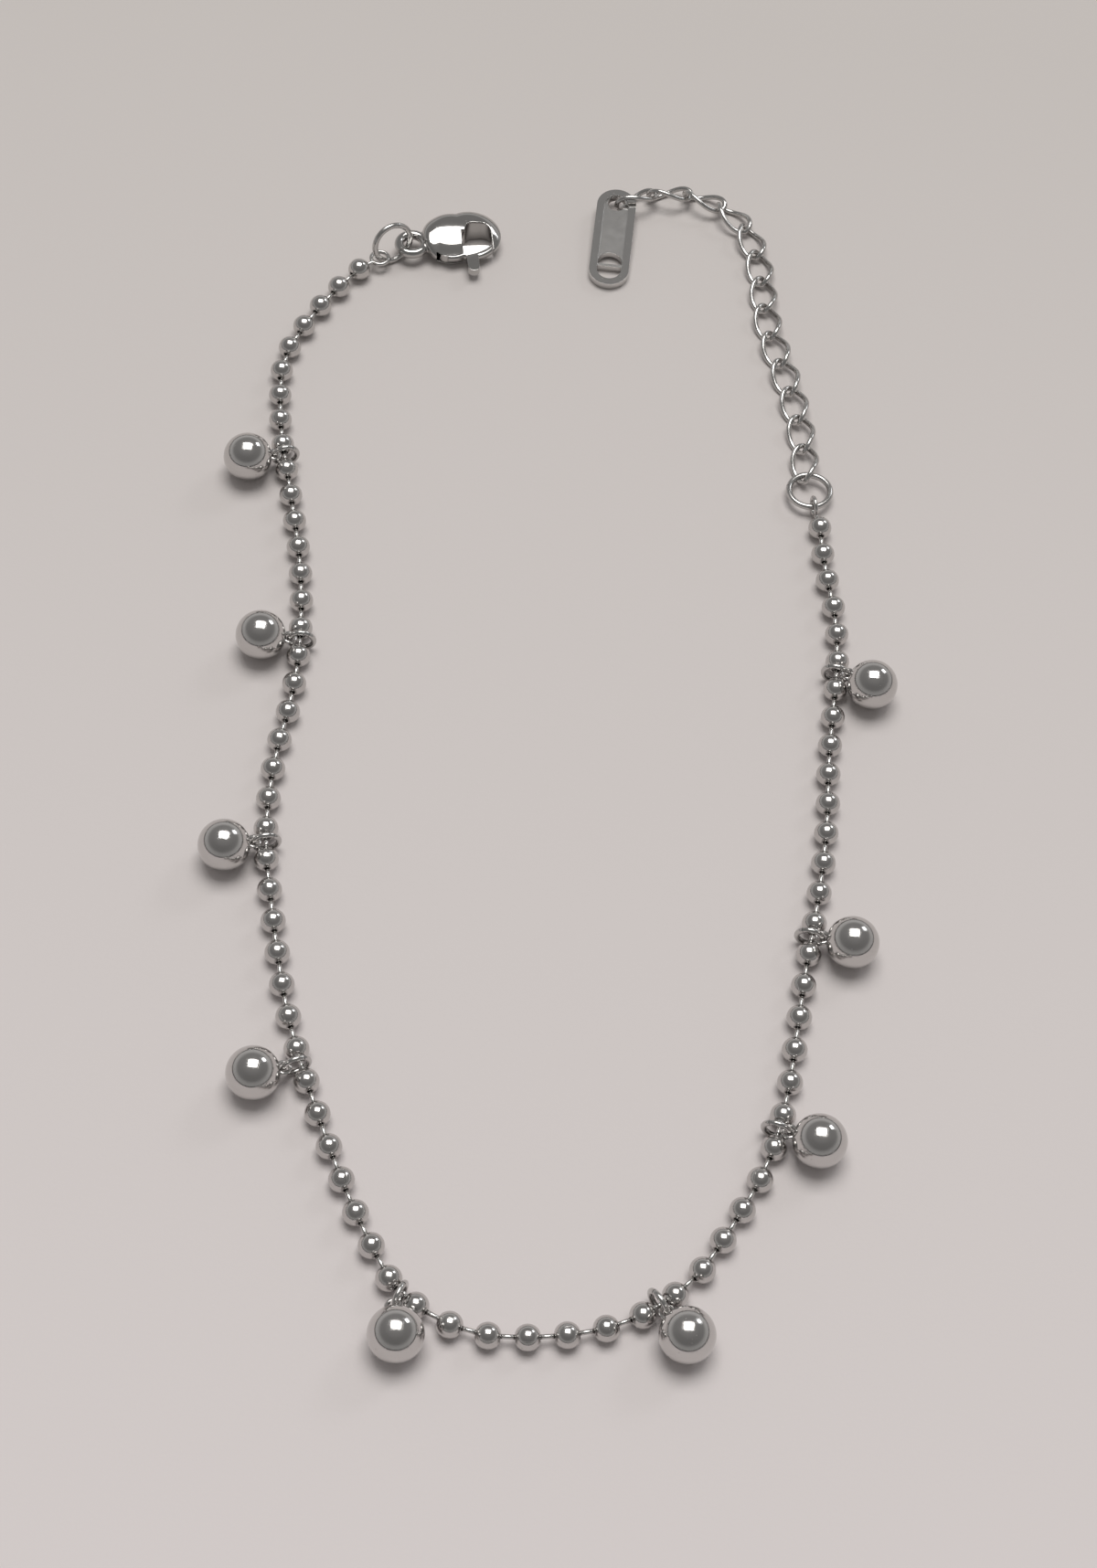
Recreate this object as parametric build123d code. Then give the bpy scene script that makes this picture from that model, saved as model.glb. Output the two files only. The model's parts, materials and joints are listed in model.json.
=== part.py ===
"""Chain anklet, lying open on a flat surface.

A ball chain carries nine large polished balls, each on its own small jump ring.
One end has a lobster clasp, the other an extender of twisted links with an end tag.
Millimetres, +Z up, +Y towards the clasp and tag. The origin is the middle of the
bottom of the box around the whole anklet, so Z = 0 is the surface it lies on.
"""
import math
import os
from collections import namedtuple

from build123d import *

# ---------------------------------------------------------------- ball chain
BEAD = 2.4            # outer diameter of a chain bead
BEAD_WALL = 0.2
BEAD_PITCH = 3.43     # from the centre of one bead to the next
BEADS = 71
ROD = 0.44            # diameter of the pin between two beads
ROD_HOLE = 0.68       # hole in a bead for the pin
PIN_HEAD = 0.76       # ball head of the pin, inside the bead
HEAD_DEPTH = 0.5      # from the centre of a bead to the centre of a head

# Heading of the chain at some of its beads, in degrees from +X towards +Y.
# Between two rows it turns evenly, from one bead to the next.
Bend = namedtuple("Bend", "bead heading")
BENDS = (
    Bend(1, -123),
    Bend(4, -109),
    Bend(6, -85),
    Bend(9, -75),
    Bend(12, -76),
    Bend(16, -86),
    Bend(19, -96),
    Bend(22, -86),
    Bend(24, -77),
    Bend(27, -75),
    Bend(30, -67),
    Bend(33, -64),
    Bend(36, -57),
    Bend(38, -25),
    Bend(40, 3),
    Bend(42, 16),
    Bend(44, 38),
    Bend(46, 61),
    Bend(48, 65),
    Bend(50, 78),
    Bend(52, 85),
    Bend(54, 85),
    Bend(56, 83),
    Bend(58, 85),
    Bend(61, 91),
    Bend(63, 87),
    Bend(65, 88),
    Bend(68, 102),
    Bend(70, 97),
)

# ------------------------------------------------------------- charms on rings
BALL = 5.0            # diameter of a large ball
CHARM_RING = 3.0      # outer diameter of the jump ring that holds it
CHARM_RING_WIRE = 0.55
EYELET = 0.6          # radius of the soldered eyelet, at the middle of its wire
EYELET_WIRE = 0.4
EYELET_REACH = 2.92   # from the centre of the ball to the centre of the eyelet

# after_bead: the ring goes round the pin behind this bead.
# slack: how far the middle of the ring stands out from that pin.
# ring_turn: how far the ring is turned from square to the chain, in degrees.
# ball_turn: how far the ball is swung round from the direction of its ring.
Charm = namedtuple("Charm", "after_bead slack ring_turn ball_turn")
CHARMS = (
    Charm(9, -0.1, 3, 6),
    Charm(16, -0.2, 0, 6),
    Charm(23, 0.0, 6, 8),
    Charm(30, 0.5, 4, -3),
    Charm(37, 0.55, 21, 31),
    Charm(44, -0.1, 2, 0),
    Charm(50, -0.2, 0, -8),
    Charm(56, -0.2, 0, -5),
    Charm(65, -0.1, -5, -25),
)

# ---------------------------------------------------- ends of the ball chain
END_EYE = 0.95        # radius of an end eye, at the middle of its wire
END_EYE_WIRE = 0.45
END_EYE_REACH = 2.85  # from the centre of the last bead to the centre of the eye
JUMP_RING = 5.0       # outer diameter of the two large jump rings
JUMP_RING_WIRE = 0.65
CLASP_END_HEADING = 44        # the way that the clasp's end eye points
CLASP_RING_HEADING = 35       # the ring stands along this heading
CLASP_RING_LEAN = 12          # and its top leans away from the ankle by this much
EXTENDER_END_HEADING = 104
EXTENDER_RING_SLOPE = -1      # the flat ring dips away from the ball chain

# ------------------------------------------------------------ extender chain
LINK_LENGTH = 5.4     # outer length of a link
LINK_WIDTH = 3.2
LINK_WIRE = 0.55
LINK_PITCH = 4.08
LINK_TWIST = 45       # each end is turned this far from the middle of the link
LINK_SECTIONS = 12    # round sections that shape a link

# heading: the way that the link points; roll: how far it has rolled on its length.
Link = namedtuple("Link", "heading roll")
LINKS = (
    Link(94, -25),
    Link(100, -22),
    Link(104, -19),
    Link(107, -16),
    Link(108, -13),
    Link(102, -10),
    Link(96, -6),
    Link(101, -2),
    Link(111, 6),
    Link(135, 16),
    Link(162, 27),
    Link(189, 37),
    Link(210, 46),
)

# -------------------------------------------------------------------- end tag
TAG_WIDTH = 4.4
TAG_LENGTH = 13.6
TAG_THICKNESS = 0.9
TAG_HEADING = 269     # from its pierced end to its free end
TAG_TILT = 4.5        # the last link lifts the pierced end
TAG_HOLE = 2.0
TAG_HOLE_INSET = 1.9  # centre of the hole from the pierced end
TAG_RIM = 0.85        # raised rim round the sunk panel
TAG_PANEL_DEPTH = 0.2
WINDOW_END = 4.6      # the window starts this far from the free end
CROSSBAR = 0.35       # bar across the window
CROSSBAR_AT = 2.85    # middle of the bar, from the free end

# --------------------------------------------------------------- lobster clasp
CLASP_HEADING = 13    # from its eye to its nose
CLASP_EYE = 1.43      # radius of the eye, at the middle of its rim
CLASP_EYE_RIM = 1.06
Lobe = namedtuple("Lobe", "x y radius thickness")
SHOULDER = Lobe(4.4, 0.5, 3.3, 3.0)
CLAW = Lobe(6.6, 0.6, 3.4, 3.0)
CLASP_HEIGHT = 1.5    # the middle of its thickness above the surface
MOUTH_X = 7.4
MOUTH_Y = 0.4
MOUTH_LENGTH = 2.9
MOUTH_WIDTH = 2.0
GATE_START = 5.5      # the lever fills the near side of the mouth from here
GATE_END = 8.85       # to the point of the claw
GATE_DEPTH = -1.2     # inner edge of the lever
PIVOT_X = 3.7
PIVOT_Y = -1.4
RIVET = 0.8
RIVET_CLEARANCE = 0.04
LEVER_ROOT = 0.95     # radius of the lever round the rivet
LEVER_THICKNESS = 1.6
LEVER_GAP = 0.12      # round the lever
SPUR_X = 6.4
SPUR_TIP = -4.7
SPUR_WIDTH = 1.3

UP = Vector(0, 0, 1)


def level(heading):
    """Level unit vector along a heading in degrees."""
    angle = math.radians(heading)
    return Vector(math.cos(angle), math.sin(angle), 0)


def heading_at(bead):
    """Heading of the chain between this bead and the next."""
    for low, high in zip(BENDS, BENDS[1:]):
        if bead <= high.bead:
            share = (bead - low.bead) / (high.bead - low.bead)
            return low.heading + share * (high.heading - low.heading)
    return BENDS[-1].heading


def bead_centres():
    """Centres of the beads, from the clasp's end to the extender's."""
    centres = [Vector(0, 0, BEAD / 2)]
    for bead in range(1, BEADS):
        centres.append(centres[-1] + level(heading_at(bead)) * BEAD_PITCH)
    return centres


def round_ring(centre, axis, radius, wire):
    """Ring of round wire: radius is to the middle of the wire."""
    return Plane(origin=centre, z_dir=axis) * Torus(radius, wire / 2)


def rod(start, end, diameter):
    """Round bar from one point to another."""
    span = end - start
    middle = (start + end) * 0.5
    return Plane(origin=middle, z_dir=span) * Cylinder(diameter / 2, span.length)


def drilled_bead(centre, ways):
    """Hollow bead with a pin hole towards each of the ways."""
    shell = Sphere(BEAD / 2) - Sphere(BEAD / 2 - BEAD_WALL)
    for way in ways:
        shell -= rod(Vector(0, 0, 0), way * BEAD, ROD_HOLE)
    return Pos(*centre) * shell


def pin_head(centre, way):
    """Ball head of a pin that leaves it along the way."""
    return Plane(origin=centre, z_dir=way) * Sphere(PIN_HEAD / 2)


def headed_pin(first, second):
    """Pin from inside one bead to inside the next, with a ball head at each end."""
    way = (second - first).normalized()
    heads = (first + way * HEAD_DEPTH, second - way * HEAD_DEPTH)
    return rod(*heads, ROD) + [pin_head(head, way) for head in heads]


def ball_chain(centres):
    """Beads and pins, and the two eye pins that end the chain."""
    clasp_way = level(CLASP_END_HEADING)
    extender_way = level(EXTENDER_END_HEADING)
    beads = []
    for number, centre in enumerate(centres):
        before = -level(heading_at(number)) if number else clasp_way
        after = level(heading_at(number + 1)) if number < BEADS - 1 else extender_way
        beads.append(drilled_bead(centre, (before, after)))
    pins = [headed_pin(first, second) for first, second in zip(centres, centres[1:])]
    return {
        "ball_chain_beads": Compound(children=beads),
        "ball_chain_pins": Compound(children=pins),
        "clasp_end_eye": end_eye(centres[0], clasp_way, UP),
        "extender_end_eye": end_eye(centres[-1], extender_way, extender_way.cross(UP)),
    }


def end_eye(bead, way, axis):
    """Eye with a headed pin that starts inside the last bead."""
    head = bead + way * HEAD_DEPTH
    neck = bead + way * (END_EYE_REACH - END_EYE)
    eye = round_ring(bead + way * END_EYE_REACH, axis, END_EYE, END_EYE_WIRE)
    return eye + rod(head, neck, ROD) + pin_head(head, way)


def charm_pieces(centres):
    """Each large ball with its soldered eyelet, and the jump ring that holds it."""
    nodes = {}
    ring_radius = (CHARM_RING - CHARM_RING_WIRE) / 2
    rise = math.asin((BALL - CHARM_RING) / 2 / (ring_radius + EYELET_REACH))
    for number, charm in enumerate(CHARMS, 1):
        first, second = centres[charm.after_bead - 1: charm.after_bead + 1]
        ring_heading = heading_at(charm.after_bead) - 90 + charm.ring_turn
        ring_way = level(ring_heading)
        ball_way = level(ring_heading + charm.ball_turn)
        centre = (first + second) * 0.5 + ring_way * charm.slack
        centre = Vector(centre.X, centre.Y, CHARM_RING / 2)
        ring_slope = ring_way * math.cos(rise) + UP * math.sin(rise)
        ball_slope = ball_way * math.cos(rise) + UP * math.sin(rise)
        eyelet = centre + ring_slope * ring_radius
        across = ball_way.cross(UP)
        axis = across.cross(ball_slope)
        ball_at = eyelet + ball_slope * EYELET_REACH
        ball = Plane(origin=ball_at, x_dir=ball_slope, z_dir=axis) * Sphere(BALL / 2)
        loop = Plane(origin=eyelet, x_dir=-ball_slope, z_dir=axis) * Torus(EYELET, EYELET_WIRE / 2)
        nodes[f"charm_{number}"] = ball + loop
        nodes[f"charm_ring_{number}"] = round_ring(
            centre, ring_way.cross(UP), ring_radius, CHARM_RING_WIRE
        )
    return nodes


def link_point(angle, roll):
    """Point on the centre line of one twisted link, lengthwise along X."""
    along = math.cos(angle)
    across = (LINK_WIDTH - LINK_WIRE) / 2 * math.sin(angle)
    turn = math.radians(LINK_TWIST * along + roll)
    half_length = (LINK_LENGTH - LINK_WIRE) / 2
    return Vector(half_length * along, across * math.cos(turn), across * math.sin(turn))


def twisted_link(middle, link):
    """One link of the extender, resting on the surface."""
    angles = [math.tau * step / LINK_SECTIONS for step in range(LINK_SECTIONS + 1)]
    points = [link_point(angle, link.roll) for angle in angles]
    sections = []
    for angle, point in zip(angles, points):
        way = link_point(angle + 0.001, link.roll) - link_point(angle - 0.001, link.roll)
        sections.append(Plane(origin=point, z_dir=way) * Circle(LINK_WIRE / 2))
    half = LINK_SECTIONS // 2
    body = loft(sections[: half + 1]) + loft(sections[half:])
    lowest = min(link_point(math.radians(degrees), link.roll).Z for degrees in range(0, 360, 3))
    height = LINK_WIRE / 2 - lowest
    return Pos(middle.X, middle.Y, height) * Rot(0, 0, link.heading) * body


def extender(start):
    """The links from the flat jump ring on, and the point where the tag hangs."""
    nodes = {}
    joint = start
    for number, link in enumerate(LINKS, 1):
        way = level(link.heading)
        nodes[f"extender_link_{number:02}"] = twisted_link(joint + way * (LINK_PITCH / 2), link)
        joint += way * LINK_PITCH
    return nodes, joint


def tag(hole):
    """Flat tag with rounded ends, a raised rim, a hole and a window with a bar."""
    free_end = TAG_LENGTH / 2
    top = TAG_THICKNESS - TAG_PANEL_DEPTH
    panel_width = TAG_WIDTH - 2 * TAG_RIM
    panel = SlotOverall(TAG_LENGTH - 2 * TAG_RIM, panel_width)
    window_length = WINDOW_END - TAG_RIM
    window_at = free_end - TAG_RIM - window_length / 2
    window = Pos(window_at, 0) * SlotOverall(window_length, panel_width)
    window -= Pos(free_end - CROSSBAR_AT, 0) * Rectangle(CROSSBAR, TAG_WIDTH)
    hole_at = TAG_HOLE_INSET - free_end
    plate = extrude(SlotOverall(TAG_LENGTH, TAG_WIDTH), TAG_THICKNESS)
    plate -= Pos(0, 0, top) * extrude(panel, TAG_THICKNESS)
    plate -= Pos(0, 0, -1) * extrude(window, TAG_THICKNESS + 2)
    plate -= Pos(hole_at, 0, 0) * Cylinder(TAG_HOLE / 2, 4 * TAG_THICKNESS)
    # The free end touches the surface, and the hole sits over the last link.
    tilt = math.radians(TAG_TILT)
    reach = (TAG_LENGTH - TAG_HOLE_INSET) * math.cos(tilt)
    at = hole + level(TAG_HEADING) * reach
    lowered = Rot(0, TAG_TILT, 0) * Pos(-free_end, 0, 0) * plate
    return Pos(at.X, at.Y, 0) * Rot(0, 0, TAG_HEADING) * lowered


def lobe(shape, inset=0.0):
    """Flat round cushion of the clasp, with a full round edge."""
    edge = shape.thickness / 2 - inset
    core = shape.radius - inset - edge
    return Pos(shape.x, shape.y, 0) * (Cylinder(core, 2 * edge) + Torus(core, edge))


def clasp():
    """Body and lever of the lobster clasp, with the middle of its eye at the origin."""
    tall = 4 * SHOULDER.thickness
    eye = Torus(CLASP_EYE, CLASP_EYE_RIM / 2)
    mouth = extrude(SlotOverall(MOUTH_LENGTH, MOUTH_WIDTH), tall / 2, both=True)
    gate_width = GATE_END - GATE_START
    gate = Pos(GATE_START + gate_width / 2, MOUTH_Y - tall / 2, 0) * Box(gate_width, tall, tall)
    slot_depth = LEVER_THICKNESS + 2 * LEVER_GAP
    slot_width = GATE_START + 0.6 - PIVOT_X + LEVER_ROOT + 2 * LEVER_GAP
    slot_at = Pos(GATE_START + 0.6 - slot_width / 2, MOUTH_Y - tall / 2, 0)
    slot = slot_at * Box(slot_width, tall, slot_depth)
    pivot = Pos(PIVOT_X, PIVOT_Y, 0)
    rivet = pivot * Cylinder(RIVET / 2, slot_depth + 0.4)
    body = lobe(SHOULDER) + lobe(CLAW) + eye
    body = body - Pos(MOUTH_X, MOUTH_Y, 0) * mouth - gate - slot + rivet

    arm_width = GATE_END - LEVER_GAP - PIVOT_X
    arm_at = Pos(PIVOT_X + arm_width / 2, GATE_DEPTH - tall / 2, 0)
    arm = arm_at * Box(arm_width, tall, LEVER_THICKNESS)
    arm &= lobe(SHOULDER, 0.1) + lobe(CLAW, 0.1)
    root = pivot * Cylinder(LEVER_ROOT, LEVER_THICKNESS)
    spur_length = GATE_DEPTH - 0.7 - SPUR_TIP
    spur = extrude(SlotOverall(spur_length, SPUR_WIDTH, rotation=90), LEVER_THICKNESS / 2, both=True)
    bore = pivot * Cylinder(RIVET / 2 + RIVET_CLEARANCE, tall)
    lever = arm + root + Pos(SPUR_X, SPUR_TIP + spur_length / 2, 0) * spur - bore
    return body, lever


def clasp_end(first_bead):
    """Leaning jump ring at the clasp's end of the chain, and the clasp on it."""
    radius = (JUMP_RING - JUMP_RING_WIRE) / 2
    along = level(CLASP_RING_HEADING)
    lean = math.radians(CLASP_RING_LEAN)
    upward = UP * math.cos(lean) + level(CLASP_RING_HEADING + 90) * math.sin(lean)
    height = radius * math.cos(lean) + JUMP_RING_WIRE / 2

    def on_ring(level_z, side):
        rise = (level_z - height) / math.cos(lean)
        return along * (side * math.sqrt(radius ** 2 - rise ** 2)) + upward * rise

    eye = first_bead + level(CLASP_END_HEADING) * END_EYE_REACH
    centre = eye - on_ring(first_bead.Z, -1)
    clasp_at = centre + on_ring(CLASP_HEIGHT, 1) + level(CLASP_HEADING) * 0.35
    ring = round_ring(centre, along.cross(upward), radius, JUMP_RING_WIRE)
    place = Pos(*clasp_at) * Rot(0, 0, CLASP_HEADING)
    body, lever = clasp()
    return {"clasp_ring": ring, "clasp_body": place * body, "clasp_lever": place * lever}


def extender_end(last_bead):
    """Flat jump ring at the extender's end, then the links and the tag."""
    radius = (JUMP_RING - JUMP_RING_WIRE) / 2
    way = level(EXTENDER_END_HEADING)
    slope = math.radians(EXTENDER_RING_SLOPE)
    along = way * math.cos(slope) + UP * math.sin(slope)
    near = last_bead + way * END_EYE_REACH
    centre = near + along * radius
    axis = along.cross(way.cross(UP))
    wires_apart = (JUMP_RING_WIRE + LINK_WIRE) / 2 + 0.25
    link_end = (LINK_LENGTH - LINK_WIRE - LINK_PITCH) / 2
    far = centre + along * radius - level(LINKS[0].heading) * (wires_apart - link_end)
    links, joint = extender(far)
    hole = joint + level(LINKS[-1].heading) * link_end
    ring = round_ring(centre, axis, radius, JUMP_RING_WIRE)
    return {"extender_ring": ring, **links, "tag": tag(hole)}


def build():
    """Every piece, with the origin under the middle of the anklet."""
    centres = bead_centres()
    nodes = ball_chain(centres)
    nodes.update(charm_pieces(centres))
    nodes.update(clasp_end(centres[0]))
    nodes.update(extender_end(centres[-1]))
    boxes = [shape.bounding_box() for shape in nodes.values()]
    middle_x = (min(box.min.X for box in boxes) + max(box.max.X for box in boxes)) / 2
    middle_y = (min(box.min.Y for box in boxes) + max(box.max.Y for box in boxes)) / 2
    print(f"bead 1 at {-middle_x:.2f}, {-middle_y:.2f}")
    return {name: Pos(-middle_x, -middle_y, 0) * shape for name, shape in nodes.items()}


os.makedirs("parts", exist_ok=True)
for node, solid in build().items():
    export_step(solid, f"parts/{node}.step")
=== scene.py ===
# %% [markdown]
# # A chain anklet of polished steel
# A ball chain carries nine large balls, each on its own small jump ring. One end has a
# lobster clasp, the other an extender of twisted links with a small tag.
# The solid model is loaded first as a fixed frame. Every piece below is then made again
# with its finish, in metres, in the place that the frame gives it.

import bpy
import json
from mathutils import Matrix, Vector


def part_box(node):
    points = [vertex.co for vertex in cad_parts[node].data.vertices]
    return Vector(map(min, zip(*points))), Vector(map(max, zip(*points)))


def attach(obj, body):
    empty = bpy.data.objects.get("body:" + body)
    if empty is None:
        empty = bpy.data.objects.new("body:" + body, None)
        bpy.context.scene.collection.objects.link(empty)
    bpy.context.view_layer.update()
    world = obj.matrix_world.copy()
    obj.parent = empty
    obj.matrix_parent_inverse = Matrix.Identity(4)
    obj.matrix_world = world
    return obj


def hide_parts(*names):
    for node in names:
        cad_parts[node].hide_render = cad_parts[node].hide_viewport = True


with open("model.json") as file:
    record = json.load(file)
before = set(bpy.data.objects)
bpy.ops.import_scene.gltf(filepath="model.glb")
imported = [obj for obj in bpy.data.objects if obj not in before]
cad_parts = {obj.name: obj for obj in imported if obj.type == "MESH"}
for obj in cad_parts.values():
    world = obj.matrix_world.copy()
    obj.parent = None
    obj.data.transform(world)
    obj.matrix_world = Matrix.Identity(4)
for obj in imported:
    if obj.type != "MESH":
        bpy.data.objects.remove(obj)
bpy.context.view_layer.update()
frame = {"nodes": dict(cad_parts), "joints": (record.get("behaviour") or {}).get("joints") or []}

# %% Tools
import json
import math
from collections import namedtuple

import bmesh
import bpy
from mathutils import Matrix, Vector

MM = 0.001
UP = Vector((0, 0, 1))
scene = bpy.context.scene

# %% [markdown]
# ## Camera
# The anklet lies on a sheet of paper and is seen from less than 30 cm away, looking down
# steeply. The camera is placed by its foot point, its height and three turns. From
# further away, a longer lens would flatten the loop, so the distance and the focal length
# are set together: here the near balls look a fifth larger than the far ones.

# %% Camera
CAMERA_AT = Vector((3.69, -158.55, 226.5)) * MM
HEADING = 0.76        # degrees: the view turns this far from +Y towards -X
PITCH = 56.76         # degrees below the horizon
ROLL = 4.88           # degrees
LENS = 63.6           # millimetres
FILM_HEIGHT = 36.0    # millimetres

camera_data = bpy.data.cameras.new("camera")
camera_data.sensor_fit = "VERTICAL"
camera_data.sensor_height = FILM_HEIGHT
camera_data.lens = LENS
camera_data.clip_start = 0.01
camera = bpy.data.objects.new("camera", camera_data)
scene.collection.objects.link(camera)
turn_to_view = (
    Matrix.Rotation(math.radians(HEADING), 4, "Z")
    @ Matrix.Rotation(math.radians(90 - PITCH), 4, "X")
    @ Matrix.Rotation(math.radians(ROLL), 4, "Z")
)
camera.matrix_world = Matrix.Translation(CAMERA_AT) @ turn_to_view
scene.camera = camera
print("camera", [round(value, 3) for value in camera.location])

# %% [markdown]
# ## Light
# Polished steel shows its surroundings more than itself. Each ball has one large bright
# square just above its middle: a ceiling light, nearly overhead. A smaller one beside it
# is a window. The rest of the ball is a dim room above and pale paper below, which meet
# in a dark line. So the room is a sky with bands by height, and the two lights are large
# soft areas. The same lights give the soft shadow under each ball.

# %% Lamps
Lamp = namedtuple("Lamp", "name way distance width height radiance colour")
LAMPS = (
    Lamp("ceiling_light", (0.0, 0.245, 0.97), 5.0, 3.35, 2.9, 5.2, (1.0, 0.985, 0.96)),
    Lamp("window", (0.56, 0.63, 0.54), 5.0, 1.2, 1.1, 4.0, (0.95, 0.97, 1.0)),
)

for lamp in LAMPS:
    light = bpy.data.lights.new(lamp.name, "AREA")
    light.shape = "RECTANGLE"
    light.size = lamp.width
    light.size_y = lamp.height
    light.energy = lamp.radiance * math.pi * lamp.width * lamp.height
    light.color = lamp.colour
    holder = bpy.data.objects.new(lamp.name, light)
    scene.collection.objects.link(holder)
    way = Vector(lamp.way).normalized()
    holder.location = way * lamp.distance
    holder.rotation_euler = way.to_track_quat("Z", "Y").to_euler()
    print(lamp.name, round(light.energy, 1), "watts")

# %% Room
Band = namedtuple("Band", "height grey")     # height: sine of the angle above the horizon
ROOM = (
    Band(-1.0, 0.30),
    Band(-0.1, 0.20),
    Band(0.0, 0.06),
    Band(0.05, 0.06),
    Band(0.1, 0.44),
    Band(0.3, 0.40),
    Band(0.48, 0.22),
    Band(0.75, 0.22),
    Band(1.0, 0.28),
)
FAR_SIDE = 0.25      # brighter by this share beyond the anklet, darker by it behind the viewer

world = bpy.data.worlds.new("room")
world.use_nodes = True
scene.world = world
sky = world.node_tree
coordinates = sky.nodes.new("ShaderNodeTexCoord")
split = sky.nodes.new("ShaderNodeSeparateXYZ")
squeeze = sky.nodes.new("ShaderNodeMapRange")
squeeze.inputs["From Min"].default_value = -1.0
ramp = sky.nodes.new("ShaderNodeValToRGB")
stops = ramp.color_ramp.elements
for number, band in enumerate(ROOM):
    at_end = {0: stops[0], len(ROOM) - 1: stops[-1]}
    stop = at_end.get(number) or stops.new((band.height + 1) / 2)
    stop.color = (band.grey * 1.02, band.grey, band.grey * 0.98, 1)
sky.links.new(coordinates.outputs["Generated"], split.inputs[0])
sky.links.new(split.outputs["Z"], squeeze.inputs["Value"])
sky.links.new(squeeze.outputs[0], ramp.inputs[0])
sky.links.new(ramp.outputs[0], sky.nodes["Background"].inputs["Color"])
strength = sky.nodes.new("ShaderNodeMath")
strength.operation = "MULTIPLY_ADD"
strength.inputs[1].default_value = FAR_SIDE
strength.inputs[2].default_value = 1.0
sky.links.new(split.outputs["Y"], strength.inputs[0])
sky.links.new(strength.outputs[0], sky.nodes["Background"].inputs["Strength"])
scene.view_settings.view_transform = "Standard"
print("room bands", len(ROOM))

# %% [markdown]
# ## Helpers for node trees
# Both the shapes and the finishes are node trees. Three small helpers keep them short:
# one starts a group with named inputs, one adds a node and wires or sets its inputs, and
# one adds a sum. A value that is a socket is linked, and any other is set.

# %% Helpers for node trees
def start_group(title, kind, inputs, outputs):
    """A node group with its input and output nodes. inputs: name, socket type, default."""
    group = bpy.data.node_groups.new(title, kind)
    for name, socket_type, default in inputs:
        socket = group.interface.new_socket(name, in_out="INPUT", socket_type=socket_type)
        if default is not None:
            socket.default_value = default
    for name, socket_type in outputs:
        group.interface.new_socket(name, in_out="OUTPUT", socket_type=socket_type)
    return group, group.nodes.new("NodeGroupInput").outputs, group.nodes.new("NodeGroupOutput").inputs


def put(tree, kind, feeds=None, **settings):
    """Adds a node. feeds: input name or number to a socket or a value."""
    node = tree.nodes.new(kind)
    for name, value in settings.items():
        setattr(node, name, value)
    for name, value in (feeds or {}).items():
        if isinstance(value, bpy.types.NodeSocket):
            tree.links.new(value, node.inputs[name])
        else:
            node.inputs[name].default_value = value
    return node


def calc(tree, operation, *values):
    """The result of one Math node."""
    return put(tree, "ShaderNodeMath", dict(enumerate(values)), operation=operation).outputs[0]


def xyz(tree, x=0.0, y=0.0, z=0.0):
    """A vector from three numbers or sockets."""
    return put(tree, "ShaderNodeCombineXYZ", {0: x, 1: y, 2: z}).outputs[0]


# %% [markdown]
# ## Effects that the steels share
# Worn steel is never a perfect mirror. It has faint smudges that change its gloss, fine
# scratches from rubbing on itself, and a little dust. Each is a group, so that every
# steel below can use it with its own amount. Coordinates are the object's own, in metres,
# so a scale of 4000 makes marks of a quarter of a millimetre.

# %% Shader group: smudges
FLOAT = "NodeSocketFloat"
VECTOR = "NodeSocketVector"

smudges, given, result = start_group(
    "Smudges", "ShaderNodeTree",
    (("Vector", VECTOR, None), ("Scale", FLOAT, 900.0), ("Clean", FLOAT, 0.08), ("Smudged", FLOAT, 0.18)),
    (("Roughness", FLOAT),),
)
cloud = put(smudges, "ShaderNodeTexNoise", {
    "Vector": given["Vector"], "Scale": given["Scale"], "Detail": 5.0, "Roughness": 0.62,
})
mask = put(smudges, "ShaderNodeMapRange", {
    "Value": cloud.outputs[0], "From Min": 0.38, "From Max": 0.68,
}, interpolation_type="SMOOTHSTEP")
gloss = put(smudges, "ShaderNodeMapRange", {
    "Value": mask.outputs[0], "To Min": given["Clean"], "To Max": given["Smudged"],
})
smudges.links.new(gloss.outputs[0], result["Roughness"])
print(smudges.name, len(smudges.nodes), "nodes")

# %% Shader group: fine scratches
SCRATCH_TURNS = ((0.3, 0.9, 0.2), (1.1, 0.2, 1.9), (2.2, 1.3, 0.7))     # a layer each, in radians
SCRATCH_WIDTH = 0.012                # how close to its middle the noise counts as a scratch

scratches, given, result = start_group(
    "Fine scratches", "ShaderNodeTree",
    (("Vector", VECTOR, None), ("Scale", FLOAT, 2500.0), ("Length", FLOAT, 14.0), ("Amount", FLOAT, 0.5)),
    (("Height", FLOAT),),
)
layers = []
for turn in SCRATCH_TURNS:
    turned = put(scratches, "ShaderNodeMapping", {"Vector": given["Vector"], "Rotation": turn})
    split = put(scratches, "ShaderNodeSeparateXYZ", {0: turned.outputs[0]})
    drawn_out = calc(scratches, "DIVIDE", split.outputs[0], given["Length"])
    stretched = xyz(scratches, drawn_out, split.outputs[1], split.outputs[2])
    streaks = put(scratches, "ShaderNodeTexNoise", {
        "Vector": stretched, "Scale": given["Scale"], "Detail": 2.0,
    })
    ridge = calc(scratches, "ABSOLUTE", calc(scratches, "SUBTRACT", streaks.outputs[0], 0.5))
    layers.append(calc(scratches, "LESS_THAN", ridge, SCRATCH_WIDTH))
marks = calc(scratches, "MAXIMUM", calc(scratches, "MAXIMUM", layers[0], layers[1]), layers[2])
scratches.links.new(
    calc(scratches, "MULTIPLY", marks, calc(scratches, "MULTIPLY", given["Amount"], -1.0)),
    result["Height"],
)
print(scratches.name, len(scratches.nodes), "nodes")

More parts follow.
